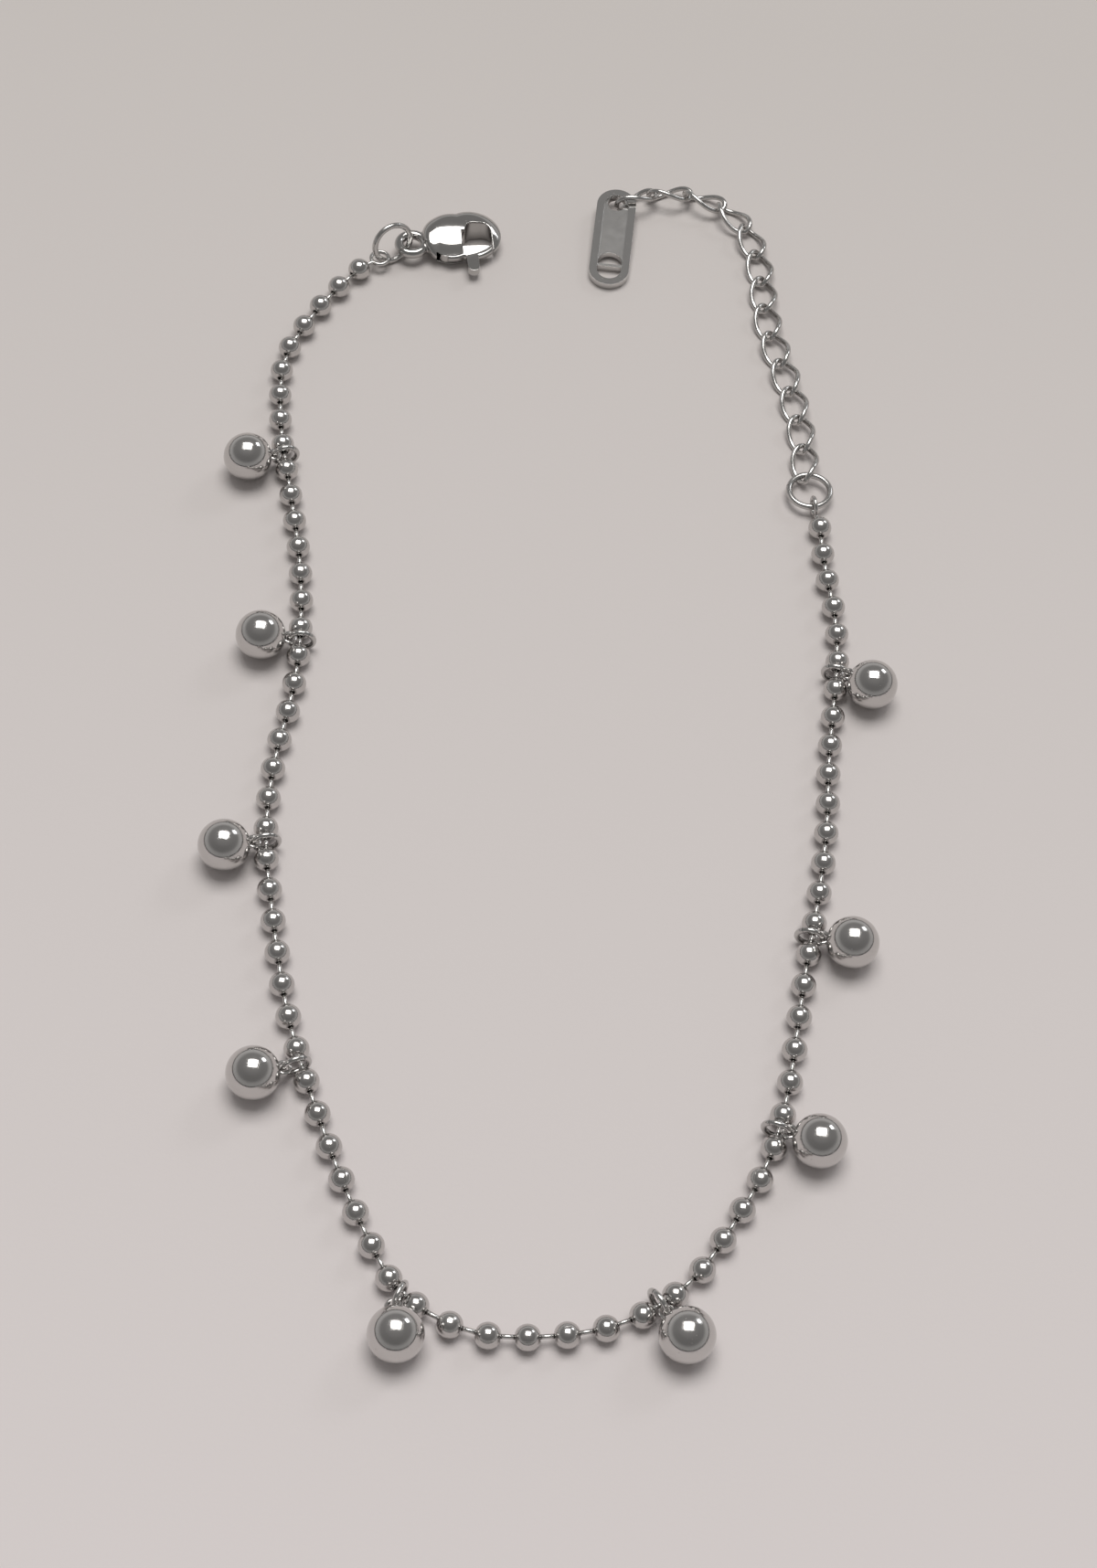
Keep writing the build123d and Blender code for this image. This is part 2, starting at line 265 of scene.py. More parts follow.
# %% Shader group: dust
dust, given, result = start_group(
    "Dust", "ShaderNodeTree",
    (("Vector", VECTOR, None), ("Scale", FLOAT, 3000.0), ("Size", FLOAT, 0.13), ("Share", FLOAT, 0.12)),
    (("Mask", FLOAT),),
)
cells = put(dust, "ShaderNodeTexVoronoi", {"Vector": given["Vector"], "Scale": given["Scale"]})
speck = calc(dust, "LESS_THAN", cells.outputs["Distance"], given["Size"])
chance = put(dust, "ShaderNodeSeparateColor", {0: cells.outputs["Color"]})
chosen = calc(dust, "LESS_THAN", chance.outputs[0], given["Share"])
dust.links.new(calc(dust, "MULTIPLY", speck, chosen), result["Mask"])
print(dust.name, len(dust.nodes), "nodes")

# %% [markdown]
# ## The steels
# One function makes every steel of this anklet: a metal with smudged gloss, a scratched
# surface as bump, and dust that is matt. Only the numbers differ. The drawn wire is the
# roughest and the most scratched. The cast clasp is the darkest, but glossy from tumbling.
# The tag is the palest, and its rim the smoothest: a little roughness would spread the
# ceiling light over a whole flat face.

# %% The steels
Steel = namedtuple("Steel", "name colour clean smudged scratch grain dust")
STEELS = (
    Steel("ball_steel", (0.60, 0.585, 0.575), 0.07, 0.16, 0.5, 0.0, 0.10),
    Steel("bead_steel", (0.57, 0.555, 0.545), 0.10, 0.20, 0.5, 0.1, 0.06),
    Steel("wire_steel", (0.55, 0.54, 0.53), 0.14, 0.24, 0.6, 0.2, 0.04),
    Steel("clasp_steel", (0.50, 0.49, 0.48), 0.07, 0.12, 0.1, 0.1, 0.06),
    Steel("tag_steel", (0.62, 0.61, 0.60), 0.06, 0.08, 0.02, 0.0, 0.06),
    Steel("panel_steel", (0.62, 0.61, 0.60), 0.12, 0.14, 0.03, 0.03, 0.06),
)
DUST_COLOUR = (0.42, 0.40, 0.39, 1)
DUST_ROUGHNESS = 0.7
GRAIN_SCALE = 9000.0     # grains of about a ninth of a millimetre
BUMP_DEPTH = 2e-6        # metres
print("roughest", max(STEELS, key=lambda steel: steel.smudged).name)

# %% [markdown]
# A bead is rolled from strip, so a fine seam runs from one hole to the other. Its groove is
# too fine to model. It is bump instead, worked out from each point's place on its own bead,
# which the tree for the beads stores further below.

# %% Seam of the beads
SEAM_WIDTH = 0.03        # as a share of the bead's radius
SEAM_DEPTH = 8.0         # against the scratches


def rolled_seam(tree):
    """Height of the fine seam that runs from hole to hole where a bead's strip closes."""
    bead_place = put(tree, "ShaderNodeAttribute", attribute_name="bead_place").outputs["Vector"]
    split = put(tree, "ShaderNodeSeparateXYZ", {0: bead_place})
    off_seam = calc(tree, "ABSOLUTE", split.outputs[2])
    on_seam = put(tree, "ShaderNodeMapRange", {
        "Value": off_seam, "From Max": SEAM_WIDTH, "To Min": -SEAM_DEPTH, "To Max": 0.0,
    }, interpolation_type="SMOOTHSTEP").outputs[0]
    return calc(tree, "MULTIPLY", on_seam, calc(tree, "GREATER_THAN", split.outputs[1], 0.0))


# %% Making the steels
def make_steel(steel):
    """A polished steel with smudges, scratches, a fine grain and dust."""
    material = bpy.data.materials.new(steel.name)
    material.use_nodes = True
    tree = material.node_tree
    shader = tree.nodes["Principled BSDF"]
    place = tree.nodes.new("ShaderNodeTexCoord").outputs["Object"]
    worn = put(tree, "ShaderNodeGroup", node_tree=smudges)
    worn.inputs["Clean"].default_value = steel.clean
    worn.inputs["Smudged"].default_value = steel.smudged
    rubbed = put(tree, "ShaderNodeGroup", node_tree=scratches)
    rubbed.inputs["Amount"].default_value = steel.scratch
    dusty = put(tree, "ShaderNodeGroup", node_tree=dust)
    dusty.inputs["Share"].default_value = steel.dust
    for group in (worn, rubbed, dusty):
        tree.links.new(place, group.inputs["Vector"])
    grain = put(tree, "ShaderNodeTexNoise", {"Vector": place, "Scale": GRAIN_SCALE, "Detail": 3.0})
    height = calc(tree, "MULTIPLY_ADD", grain.outputs[0], steel.grain, rubbed.outputs["Height"])
    if steel.name == "bead_steel":
        height = calc(tree, "ADD", height, rolled_seam(tree))
    bump = put(tree, "ShaderNodeBump", {
        "Height": height, "Strength": 0.5, "Distance": BUMP_DEPTH,
    })
    tone = put(tree, "ShaderNodeMix", data_type="RGBA")
    tone.inputs[6].default_value = (*steel.colour, 1)
    tone.inputs[7].default_value = DUST_COLOUR
    tree.links.new(dusty.outputs["Mask"], tone.inputs[0])
    rough = put(tree, "ShaderNodeMapRange", {
        "Value": dusty.outputs["Mask"],
        "To Min": worn.outputs["Roughness"],
        "To Max": DUST_ROUGHNESS,
    })
    shader.inputs["Metallic"].default_value = 1.0
    tree.links.new(tone.outputs[2], shader.inputs["Base Color"])
    tree.links.new(rough.outputs[0], shader.inputs["Roughness"])
    tree.links.new(bump.outputs[0], shader.inputs["Normal"])
    return material


finish = {steel.name: make_steel(steel) for steel in STEELS}
print("steels", ", ".join(finish))

# %% [markdown]
# ## Paper under the anklet
# The sheet fills the view and also the lower half of every reflection, so its tone and
# its size both matter. It is warm white, with a slight tooth that only shows close by, and
# painted shade makes its colour a little greyer away from the viewer, where less light falls.

# %% Paper
PAPER_SIDE = 0.9                     # metres
# The far colour holds painted shade: the paper is painted greyer away from the viewer.
PAPER_NEAR = (0.76, 0.71, 0.71, 1)
PAPER_FAR_PAINTED_SHADE = (0.62, 0.585, 0.565, 1)
PAINTED_SHADE_START, PAINTED_SHADE_END = -0.09, 0.1    # metres along the sheet
MOST_PAINTED_SHADE = 0.9
CLOUDING = 0.1

bpy.ops.mesh.primitive_grid_add(x_subdivisions=2, y_subdivisions=2, size=PAPER_SIDE)
paper = bpy.context.object
paper.name = "paper"
paper_material = bpy.data.materials.new("paper")
paper_material.use_nodes = True
tree = paper_material.node_tree
shader = tree.nodes["Principled BSDF"]
place = tree.nodes.new("ShaderNodeTexCoord").outputs["Object"]
tooth = put(tree, "ShaderNodeTexNoise", {"Vector": place, "Scale": 2600.0, "Detail": 4.0})
cloud = put(tree, "ShaderNodeTexNoise", {"Vector": place, "Scale": 9.0, "Detail": 1.0})
along_sheet = put(tree, "ShaderNodeSeparateXYZ", {0: place})
# Painted shade: the colour turns towards the far colour with distance from the viewer.
painted_shade = put(tree, "ShaderNodeMapRange", {
    "Value": along_sheet.outputs[1], "From Min": PAINTED_SHADE_START, "From Max": PAINTED_SHADE_END,
    "To Min": 0.0, "To Max": MOST_PAINTED_SHADE,
})
painted_shade_and_clouding = calc(tree, "ADD", painted_shade.outputs[0], calc(tree, "MULTIPLY", cloud.outputs[0], CLOUDING))
tone = put(tree, "ShaderNodeMix", {0: painted_shade_and_clouding}, data_type="RGBA")
tone.inputs[6].default_value = PAPER_NEAR
tone.inputs[7].default_value = PAPER_FAR_PAINTED_SHADE
bump = put(tree, "ShaderNodeBump", {
    "Height": tooth.outputs[0], "Strength": 0.4, "Distance": 0.02 * MM,
})
tree.links.new(tone.outputs[2], shader.inputs["Base Color"])
tree.links.new(bump.outputs[0], shader.inputs["Normal"])
shader.inputs["Roughness"].default_value = 0.85
shader.inputs["Specular IOR Level"].default_value = 0.2
paper.data.materials.append(paper_material)
print("paper", PAPER_SIDE, "m")

# %% [markdown]
# ## The run of the chain
# A ball chain is stiff in twist but bends a little at each bead, so its path is told by
# how far it turns from bead to bead. The table gives the heading at some beads, and
# the steps between them follow. The frame's own box then says where the run starts.

# %% Sizes of the chain
BEAD = 2.4               # diameters and lengths in millimetres, headings in degrees
BEAD_WALL = 0.2
BEAD_PITCH = 3.43
BEADS = 71
ROD = 0.44
ROD_HOLE = 0.56
PIN_HEAD = 0.76
HEAD_DEPTH = 0.5         # from a bead's middle to the middle of a pin's head
print("chain", round((BEADS - 1) * BEAD_PITCH + BEAD, 1), "mm from end to end")

# %% Bends of the chain
Bend = namedtuple("Bend", "bead heading")
BENDS = (
    Bend(1, -123),
    Bend(4, -109),
    Bend(6, -85),
    Bend(9, -75),
    Bend(12, -76),
    Bend(16, -86),
    Bend(19, -96),
    Bend(22, -86),
    Bend(24, -77),
    Bend(27, -75),
    Bend(30, -67),
    Bend(33, -64),
    Bend(36, -57),
    Bend(38, -25),
    Bend(40, 3),
    Bend(42, 16),
    Bend(44, 38),
    Bend(46, 61),
    Bend(48, 65),
    Bend(50, 78),
    Bend(52, 85),
    Bend(54, 85),
    Bend(56, 83),
    Bend(58, 85),
    Bend(61, 91),
    Bend(63, 87),
    Bend(65, 88),
    Bend(68, 102),
    Bend(70, 97),
)
print(len(BENDS), "bends, from", BENDS[0].heading, "to", BENDS[-1].heading, "degrees")

# %% Middles of the beads
def level(heading):
    """Level unit vector along a heading in degrees."""
    return Vector((math.cos(math.radians(heading)), math.sin(math.radians(heading)), 0))


def heading_at(bead):
    """Heading of the chain between this bead and the next."""
    for low, high in zip(BENDS, BENDS[1:]):
        if bead <= high.bead:
            share = (bead - low.bead) / (high.bead - low.bead)
            return low.heading + share * (high.heading - low.heading)
    return BENDS[-1].heading


centres = [Vector((0, 0, BEAD / 2))]
for bead in range(1, BEADS):
    centres.append(centres[-1] + level(heading_at(bead)) * BEAD_PITCH)

left, front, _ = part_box("ball_chain_beads")[0]
offset = Vector((
    left / MM + BEAD / 2 - min(centre.x for centre in centres),
    front / MM + BEAD / 2 - min(centre.y for centre in centres),
    0,
))
centres = [centre + offset for centre in centres]
print("first bead", [round(value, 2) for value in centres[0]], "mm")

# %% [markdown]
# ## Growing pieces from points
# What repeats on a chain is made once and placed many times. Each kind of piece is a
# Geometry Nodes tree that takes a cloud of points, puts its shape on each and turns it
# as the point's own attribute says. The tree ends with Realize Instances and Set
# Material, and the result is turned into a plain mesh, because instances are lost when
# the object is exported.

# %% Start and end of a shape tree
def start_shape_tree(title, sizes):
    """A tree with points and finish as inputs, and the named sizes."""
    inputs = (("Points", "NodeSocketGeometry", None), ("Finish", "NodeSocketMaterial", None), *sizes)
    return start_group(title, "GeometryNodeTree", inputs, (("Shape", "NodeSocketGeometry"),))


def end_shape_tree(tree, given, result, shape, turn=None):
    """Places the shape on each point, turned by the point's own turn."""
    if turn is None:
        turn = put(
            tree, "GeometryNodeInputNamedAttribute", {"Name": "turn"}, data_type="FLOAT_VECTOR"
        ).outputs["Attribute"]
    placed = put(tree, "GeometryNodeInstanceOnPoints", {
        "Points": given["Points"], "Instance": shape, "Rotation": turn,
    })
    real = put(tree, "GeometryNodeRealizeInstances", {"Geometry": placed.outputs[0]})
    smooth = put(tree, "GeometryNodeSetShadeSmooth", {"Geometry": real.outputs[0]})
    done = put(tree, "GeometryNodeSetMaterial", {
        "Geometry": smooth.outputs[0], "Material": given["Finish"],
    })
    tree.links.new(done.outputs[0], result["Shape"])


# %% Growing a piece
def grow(name, tree, points, steel, sizes, turns=None, headings=None):
    """A plain mesh from a tree, its points in millimetres and its sizes."""
    cloud = bpy.data.meshes.new(name + "_points")
    cloud.from_pydata([point * MM for point in points], [], [])
    if turns:
        values = [value for turn in turns for value in turn]
        cloud.attributes.new("turn", "FLOAT_VECTOR", "POINT").data.foreach_set("vector", values)
    if headings:
        values = [math.radians(heading) for heading in headings]
        cloud.attributes.new("heading", "FLOAT", "POINT").data.foreach_set("value", values)
    holder = bpy.data.objects.new(name + "_points", cloud)
    scene.collection.objects.link(holder)
    modifier = holder.modifiers.new("grow", "NODES")
    modifier.node_group = tree
    values = dict(sizes, Finish=finish[steel])
    for socket in tree.interface.items_tree:
        if socket.in_out == "INPUT" and socket.name in values:
            modifier[socket.identifier] = values[socket.name]
    bpy.context.view_layer.update()
    shown = holder.evaluated_get(bpy.context.evaluated_depsgraph_get())
    mesh = bpy.data.meshes.new_from_object(shown)
    mesh.name = name
    piece = bpy.data.objects.new(name, mesh)
    scene.collection.objects.link(piece)
    bpy.data.objects.remove(holder)
    report(piece)
    return piece


# %% Measuring, joining and turning
def report(piece):
    """Prints a piece's triangles and its volume, which is above zero if faces point out."""
    shape = bmesh.new()
    shape.from_mesh(piece.data)
    volume = shape.calc_volume(signed=True) / MM ** 3
    triangles = sum(len(face.verts) - 2 for face in shape.faces)
    open_edges = sum(1 for edge in shape.edges if len(edge.link_faces) != 2)
    shape.free()
    print(piece.name, triangles, "triangles,", round(volume, 2), "mm3,", open_edges, "open edges")


def merge(mesh, distance):
    """Joins points that lie closer than a distance, which closes seams."""
    shape = bmesh.new()
    shape.from_mesh(mesh)
    bmesh.ops.remove_doubles(shape, verts=shape.verts, dist=distance)
    shape.to_mesh(mesh)
    shape.free()


def turn_of(x_way, y_way):
    """Turn that takes X and Y to two ways at right angles."""
    z_way = x_way.cross(y_way)
    return Matrix((x_way, y_way, z_way)).transposed().to_euler()


# %% [markdown]
# ## Beads
# A bead of a ball chain is not solid: it is rolled from thin strip round the ends of two
# pins, so it is hollow, with a hole at each end whose lip turns in, and a fine seam from
# hole to hole. A grid is wrapped into that shell: one way goes round the chain, and the
# other goes over the outside and back along the inside. The beads have turned freely on
# their pins, so each gets a random turn, from a fixed seed.

# %% Beads: a grid to wrap
AROUND = 33              # points of the grid, each way
ALONG = 29
LIP_ANGLE = 0.3          # radians over which the lip turns in
bead_tree, given, result = start_shape_tree("Drilled beads", (
    ("Radius", FLOAT, BEAD / 2 * MM),
    ("Wall", FLOAT, BEAD_WALL * MM),
    ("Hole radius", FLOAT, ROD_HOLE / 2 * MM),
    ("Lip", FLOAT, 0.05 * MM),
    ("Seed", "NodeSocketInt", 0),
))
grid = put(bead_tree, "GeometryNodeMeshGrid", {
    "Size X": 1.0, "Size Y": 1.0, "Vertices X": AROUND, "Vertices Y": ALONG,
})
grid_place = put(bead_tree, "GeometryNodeInputPosition").outputs[0]
split = put(bead_tree, "ShaderNodeSeparateXYZ", {0: grid_place})
step = calc(bead_tree, "MULTIPLY", calc(bead_tree, "ADD", split.outputs[1], 0.5), ALONG - 1.0)
half = (ALONG - 1) / 2
# Steps 0 to half run over the outside, the next ones back along the inside.
inside = calc(
    bead_tree, "MULTIPLY",
    calc(bead_tree, "GREATER_THAN", step, half + 0.5),
    calc(bead_tree, "LESS_THAN", step, ALONG - 1.5),
)
print("grid of", AROUND, "by", ALONG, "points")

# %% Beads: angle and radius of each step
inner_radius = calc(bead_tree, "SUBTRACT", given["Radius"], given["Wall"])


def hole_angle(radius):
    """Angle from the axis to the edge of the hole, on a sphere of this radius."""
    return calc(bead_tree, "ARCSINE", calc(bead_tree, "DIVIDE", given["Hole radius"], radius))


outer_hole = hole_angle(given["Radius"])
inner_hole = hole_angle(inner_radius)
outer_angle = put(bead_tree, "ShaderNodeMapRange", {
    "Value": calc(bead_tree, "MODULO", calc(bead_tree, "ADD", step, 0.001), ALONG - 1.0),
    "From Min": 0.0, "From Max": half,
    "To Min": outer_hole, "To Max": calc(bead_tree, "SUBTRACT", math.pi, outer_hole),
}).outputs[0]
inner_angle = put(bead_tree, "ShaderNodeMapRange", {
    "Value": step, "From Min": half + 1, "From Max": ALONG - 2.0,
    "To Min": calc(bead_tree, "SUBTRACT", math.pi, inner_hole), "To Max": inner_hole,
}).outputs[0]
to_hole = calc(bead_tree, "MINIMUM", outer_angle, calc(bead_tree, "SUBTRACT", math.pi, outer_angle))
outer_radius = put(bead_tree, "ShaderNodeMapRange", {
    "Value": to_hole,
    "From Min": outer_hole, "From Max": calc(bead_tree, "ADD", outer_hole, LIP_ANGLE),
    "To Min": calc(bead_tree, "SUBTRACT", given["Radius"], given["Lip"]), "To Max": given["Radius"],
}, interpolation_type="SMOOTHSTEP").outputs[0]


def choose(outside, within):
    """The inside value on the inside, and the outside value elsewhere."""
    return put(bead_tree, "ShaderNodeMix", {0: inside, 2: outside, 3: within}).outputs[0]


radius = choose(outer_radius, inner_radius)
angle = choose(outer_angle, inner_angle)

# %% Beads: the wrapped shell
round_angle = calc(bead_tree, "MULTIPLY", split.outputs[0], math.tau)
across = calc(bead_tree, "MULTIPLY", radius, calc(bead_tree, "SINE", angle))
wrapped = put(bead_tree, "GeometryNodeSetPosition", {
    "Geometry": grid.outputs[0],
    "Position": xyz(
        bead_tree,
        calc(bead_tree, "MULTIPLY", radius, calc(bead_tree, "COSINE", angle)),
        calc(bead_tree, "MULTIPLY", across, calc(bead_tree, "COSINE", round_angle)),
        calc(bead_tree, "MULTIPLY", across, calc(bead_tree, "SINE", round_angle)),
    ),
})
outward = put(bead_tree, "GeometryNodeFlipFaces", {"Mesh": wrapped.outputs[0]})
closed = put(bead_tree, "GeometryNodeMergeByDistance", {
    "Geometry": outward.outputs[0], "Distance": 0.002 * MM,
})
own_place = put(bead_tree, "GeometryNodeStoreNamedAttribute", {
    "Geometry": closed.outputs[0], "Name": "bead_place",
    "Value": put(bead_tree, "ShaderNodeVectorMath", {
        0: put(bead_tree, "GeometryNodeInputPosition").outputs[0], "Scale": 1 / (BEAD / 2 * MM),
    }, operation="SCALE").outputs[0],
}, data_type="FLOAT_VECTOR", domain="POINT")
heading = put(
    bead_tree, "GeometryNodeInputNamedAttribute", {"Name": "heading"}, data_type="FLOAT"
).outputs["Attribute"]
roll = put(bead_tree, "FunctionNodeRandomValue", {
    "Min": 0.0, "Max": math.tau, "Seed": given["Seed"],
}, data_type="FLOAT")
roll_out = [socket for socket in roll.outputs if socket.enabled][0]
end_shape_tree(bead_tree, given, result, own_place.outputs[0], xyz(bead_tree, roll_out, 0.0, heading))
print(bead_tree.name, len(bead_tree.nodes), "nodes")

# %% Beads on the chain
CLASP_END_HEADING = 44
EXTENDER_END_HEADING = 104
pin_headings = [heading_at(bead) for bead in range(1, BEADS)]
before = [CLASP_END_HEADING - 180] + pin_headings
after = pin_headings + [EXTENDER_END_HEADING]
beads = grow(
    "ball_chain_shells", bead_tree, centres, "bead_steel",
    {"Radius": BEAD / 2 * MM, "Wall": BEAD_WALL * MM, "Hole radius": ROD_HOLE / 2 * MM, "Seed": 5},
    headings=[(first + second) / 2 for first, second in zip(before, after)],
)
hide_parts("ball_chain_beads")
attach(beads, "anklet")

# %% [markdown]
# ## Pins
# Between two beads shows a short straight pin. Inside each bead it ends in a small ball
# head that is too large for the hole, so it can turn but not come out.

# %% Pins: the tree
pin_tree, given, result = start_shape_tree("Headed pins", (
    ("Pitch", FLOAT, BEAD_PITCH * MM),
    ("Rod radius", FLOAT, ROD / 2 * MM),
    ("Head radius", FLOAT, PIN_HEAD / 2 * MM),
    ("Head depth", FLOAT, HEAD_DEPTH * MM),
))
rod_length = calc(
    pin_tree, "SUBTRACT", given["Pitch"], calc(pin_tree, "MULTIPLY", given["Head depth"], 2.0)
)
rod = put(pin_tree, "GeometryNodeMeshCylinder", {
    "Vertices": 16, "Side Segments": 1, "Radius": given["Rod radius"], "Depth": rod_length,
})
head = put(pin_tree, "GeometryNodeMeshUVSphere", {
    "Segments": 16, "Rings": 10, "Radius": given["Head radius"],
})
half_length = calc(pin_tree, "MULTIPLY", rod_length, 0.5)
ends = [
    put(pin_tree, "GeometryNodeTransform", {
        "Geometry": head.outputs[0], "Translation": xyz(pin_tree, 0.0, 0.0, shift),
    })
    for shift in (half_length, calc(pin_tree, "MULTIPLY", half_length, -1.0))
]
pin = put(pin_tree, "GeometryNodeJoinGeometry")
for part in (rod, *ends):
    pin_tree.links.new(part.outputs[0], pin.inputs[0])
lying = put(pin_tree, "GeometryNodeTransform", {"Geometry": pin.outputs[0]})
lying.inputs["Rotation"].default_value = (0, math.pi / 2, 0)
end_shape_tree(pin_tree, given, result, lying.outputs[0])
print(pin_tree.name, len(pin_tree.nodes), "nodes")

# %% Pins on the chain
pins = grow(
    "ball_chain_rods", pin_tree,
    [(first + second) / 2 for first, second in zip(centres, centres[1:])], "wire_steel",
    {
        "Pitch": BEAD_PITCH * MM, "Rod radius": ROD / 2 * MM,
        "Head radius": PIN_HEAD / 2 * MM, "Head depth": HEAD_DEPTH * MM,
    },
    turns=[(0, 0, math.radians(heading)) for heading in pin_headings],
)
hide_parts("ball_chain_pins")
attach(pins, "anklet")

# %% [markdown]
# ## Jump rings
# A jump ring is a turn of wire whose two cut ends are pushed together, so it has a
# hairline cut. An arc that stops just short of a full circle, swept with a round
# profile and capped, gives both. The same tree makes the nine small rings of the
# charms and the two large ones at the ends of the chain.

# %% Jump rings: the tree
ring_tree, given, result = start_shape_tree("Jump rings", (
    ("Ring radius", FLOAT, 1.2 * MM),
    ("Wire", FLOAT, 0.55 * MM),
    ("Cut at", FLOAT, 0.0),
    ("Cut", FLOAT, 0.03),
))
arc = put(ring_tree, "GeometryNodeCurveArc", {
    "Resolution": 72, "Radius": given["Ring radius"], "Start Angle": given["Cut at"],
    "Sweep Angle": calc(ring_tree, "SUBTRACT", math.tau, given["Cut"]),
})
wire = put(ring_tree, "GeometryNodeCurvePrimitiveCircle", {
    "Resolution": 20, "Radius": calc(ring_tree, "MULTIPLY", given["Wire"], 0.5),
})
tube = put(ring_tree, "GeometryNodeCurveToMesh", {
    "Curve": arc.outputs[0], "Profile Curve": wire.outputs[0], "Fill Caps": True,
})
end_shape_tree(ring_tree, given, result, tube.outputs[0])
print(ring_tree.name, len(ring_tree.nodes), "nodes")

# %% [markdown]
# Each small ring stands on edge round the pin between two beads, and its charm lies beside
# the chain. The ball is taller than the ring, so the eyelet's way rises a little from one to
# the other. The table says after which bead a charm hangs and how far it is turned.

# %% Places of the charms
Charm = namedtuple("Charm", "after_bead slack ring_turn ball_turn")
CHARMS = (
    Charm(9, -0.1, 3, 6),
    Charm(16, -0.2, 0, 6),
    Charm(23, 0.0, 6, 8),
    Charm(30, 0.5, 4, -3),
    Charm(37, 0.55, 21, 31),
    Charm(44, -0.1, 2, 0),
    Charm(50, -0.2, 0, -8),
    Charm(56, -0.2, 0, -5),
    Charm(65, -0.1, -5, -25),
)
BALL = 5.0
CHARM_RING = 3.0
CHARM_RING_WIRE = 0.55
EYELET = 0.6
EYELET_WIRE = 0.4
EYELET_REACH = 2.92

ring_radius = (CHARM_RING - CHARM_RING_WIRE) / 2
rise = math.asin((BALL - CHARM_RING) / 2 / (ring_radius + EYELET_REACH))
ring_places, ring_turns, ball_places, ball_turns = [], [], [], []
for charm in CHARMS:
    heading = heading_at(charm.after_bead) - 90 + charm.ring_turn
    ring_way = level(heading)
    ball_way = level(heading + charm.ball_turn)
    middle = (centres[charm.after_bead - 1] + centres[charm.after_bead]) / 2
    centre = middle + ring_way * charm.slack
    centre.z = CHARM_RING / 2
    ball_slope = ball_way * math.cos(rise) + UP * math.sin(rise)
    eyelet = centre + (ring_way * math.cos(rise) + UP * math.sin(rise)) * ring_radius
    ring_places.append(centre)
    ring_turns.append(turn_of(ring_way, UP))
    ball_places.append(eyelet + ball_slope * EYELET_REACH)
    ball_turns.append(turn_of(ball_slope, -ball_way.cross(UP)))
print("eyelets rise", round(math.degrees(rise), 1), "degrees")

# %% Small rings on the chain
charm_rings = grow(
    "charm_jump_rings", ring_tree, ring_places, "wire_steel",
    {"Ring radius": ring_radius * MM, "Wire": CHARM_RING_WIRE * MM, "Cut at": 2.2, "Cut": 0.03},
    turns=ring_turns,
)
charm_numbers = range(1, len(CHARMS) + 1)
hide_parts(*[f"charm_ring_{number}" for number in charm_numbers])
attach(charm_rings, "anklet")

# %% [markdown]
# ## Charms
# Each charm is a polished ball with a small wire eyelet soldered on. A coarse ball would
# show as facets at its edge and as kinks in its reflections, so it has many faces. The
# solder is a low mound where the eyelet meets the ball.

# %% Charms: the tree
SOLDER_AT = 0.955                    # of the ball's radius
SOLDER_SHAPE = (0.55, 1.15, 0.95)    # against the eyelet's wire

charm_tree, given, result = start_shape_tree("Ball charms", (
    ("Ball radius", FLOAT, BALL / 2 * MM),
    ("Eyelet radius", FLOAT, EYELET * MM),
    ("Eyelet wire", FLOAT, EYELET_WIRE * MM),
    ("Eyelet reach", FLOAT, EYELET_REACH * MM),
))
ball = put(charm_tree, "GeometryNodeMeshUVSphere", {
    "Segments": 96, "Rings": 48, "Radius": given["Ball radius"],
})
loop_path = put(charm_tree, "GeometryNodeCurvePrimitiveCircle", {
    "Resolution": 40, "Radius": given["Eyelet radius"],
})
loop_wire = put(charm_tree, "GeometryNodeCurvePrimitiveCircle", {
    "Resolution": 16, "Radius": calc(charm_tree, "MULTIPLY", given["Eyelet wire"], 0.5),
})
loop = put(charm_tree, "GeometryNodeCurveToMesh", {
    "Curve": loop_path.outputs[0], "Profile Curve": loop_wire.outputs[0],
})
back = calc(charm_tree, "MULTIPLY", given["Eyelet reach"], -1.0)
eyelet_part = put(charm_tree, "GeometryNodeTransform", {
    "Geometry": loop.outputs[0], "Translation": xyz(charm_tree, back),
})
mound = put(charm_tree, "GeometryNodeMeshUVSphere", {
    "Segments": 24, "Rings": 16, "Radius": given["Eyelet wire"],
})
solder = put(charm_tree, "GeometryNodeTransform", {
    "Geometry": mound.outputs[0],
    "Translation": xyz(charm_tree, calc(charm_tree, "MULTIPLY", given["Ball radius"], -SOLDER_AT)),
    "Scale": SOLDER_SHAPE,
})
whole = put(charm_tree, "GeometryNodeJoinGeometry")
for part in (ball, eyelet_part, solder):
    charm_tree.links.new(part.outputs[0], whole.inputs[0])
end_shape_tree(charm_tree, given, result, whole.outputs[0])
print(charm_tree.name, len(charm_tree.nodes), "nodes")

# %% Charms on their rings
charms = grow(
    "ball_charms", charm_tree, ball_places, "ball_steel",
    {
        "Ball radius": BALL / 2 * MM, "Eyelet radius": EYELET * MM,
        "Eyelet wire": EYELET_WIRE * MM, "Eyelet reach": EYELET_REACH * MM,
    },
    turns=ball_turns,
)
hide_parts(*[f"charm_{number}" for number in charm_numbers])
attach(charms, "anklet")

# %% [markdown]
# ## End eyes and large rings
# The chain's last pin at each end is bent into an eye, and a large jump ring joins that
# to the clasp or to the extender. The eye is one length of wire: straight out of the
# bead, then round until it nearly meets itself. A poly curve with a round bevel is the
# shortest way to draw it.

# %% Bending an eye
END_EYE = 0.95
END_EYE_WIRE = 0.45
END_EYE_REACH = 2.85
END_EYE_NECK = 0.12      # from the straight to the start of the round
EYE_STEPS = 40
EYE_START = 8            # degrees round from the neck
EYE_TURN = 356


